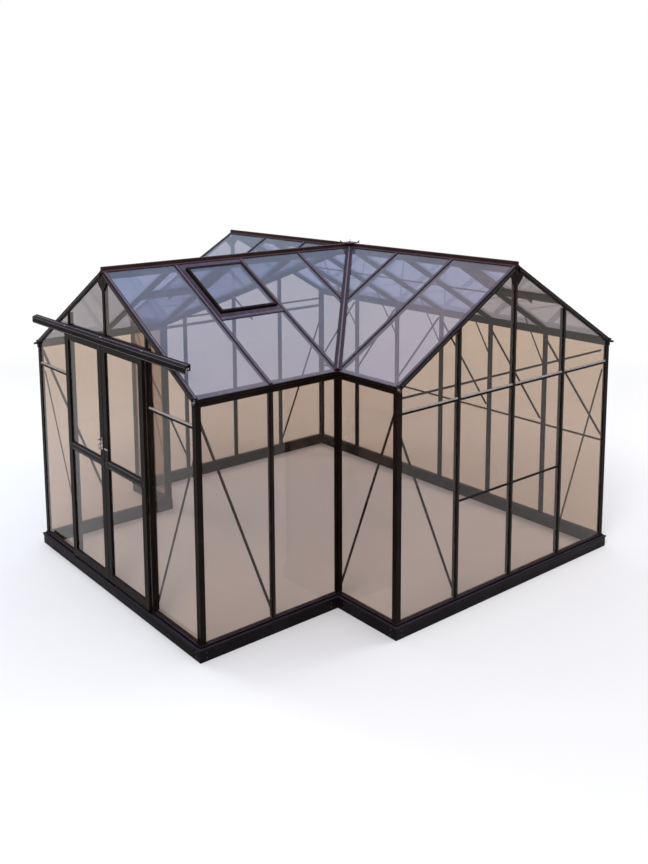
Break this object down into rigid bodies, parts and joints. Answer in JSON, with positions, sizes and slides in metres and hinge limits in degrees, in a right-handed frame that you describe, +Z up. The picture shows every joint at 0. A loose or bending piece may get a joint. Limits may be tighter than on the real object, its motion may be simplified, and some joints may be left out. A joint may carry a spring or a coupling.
{
  "type": "glass greenhouse",
  "caption": "Glass greenhouse with a T-shaped plan, gabled roofs, black glazing bars, closed roof vents and sliding doors in one gable.",
  "frame": {"origin": "on the ground, in the middle of the footprint's bounding box", "axes": "+Z up, doors face -Y, +X to the right seen from the doors"},
  "size_m": [3.86, 3.899, 2.6602],
  "materials": {
    "frame_metal": "black powder coat, satin",
    "plinth": "black powder coat, satin",
    "ridge_metal": "black-brown powder coat, satin",
    "track_metal": "black powder coat, satin, brighter at the edges",
    "wall_glass": "clear greenhouse glass",
    "roof_glass": "clear greenhouse glass with a pale sheen of sky",
    "handle_metal": "satin",
    "roller": "nylon roller on a dark steel hanger"
  },
  "bodies": {
    "building": {"plinth_fronts": "plinth", "plinth_sides": "plinth", "sill_fronts": "frame_metal", "sill_sides": "frame_metal", "corner_posts": "frame_metal", "inner_corner_posts": "frame_metal", "wall_bars": "frame_metal", "gable_posts": "frame_metal", "door_posts": "frame_metal", "door_gable_post": "frame_metal", "transoms": "frame_metal", "gable_ties": "frame_metal", "glass_strips": "frame_metal", "door_header": "frame_metal", "wall_braces": "frame_metal", "knee_braces": "frame_metal", "apex_plates": "frame_metal", "main_eaves": "frame_metal", "wing_eaves": "frame_metal", "gutter_ends": "frame_metal", "ridges": "ridge_metal", "ridge_cover": "ridge_metal", "main_rafters": "frame_metal", "wing_rafters": "frame_metal", "jack_rafters": "frame_metal", "valley_bars": "frame_metal", "gable_rafters": "frame_metal", "door_gable_glass": "wall_glass", "side_glass": "wall_glass", "main_gable_glass": "wall_glass", "rear_glass": "wall_glass", "main_roof_glass": "roof_glass", "wing_roof_glass": "roof_glass", "vent_frames": "frame_metal", "vent_glass": "roof_glass", "vent_curbs": "frame_metal", "vent_stays": "frame_metal", "door_track": "track_metal", "track_brackets": "frame_metal", "bottom_guide": "track_metal"},
    "left_door": {"left_door_frame": "frame_metal", "left_door_glass": "wall_glass", "left_door_rollers": "roller", "left_door_latch": "handle_metal"},
    "right_door": {"right_door_frame": "frame_metal", "right_door_glass": "wall_glass", "right_door_rollers": "roller", "right_door_keep": "handle_metal"}
  },
  "joints": [
    {"name": "left_door_slide", "type": "slide", "parent": "building", "child": "left_door", "axis": [-1, 0, 0], "range_m": [0, 0.6]},
    {"name": "right_door_slide", "type": "slide", "parent": "building", "child": "right_door", "axis": [1, 0, 0], "range_m": [0, 0.6]}
  ]
}
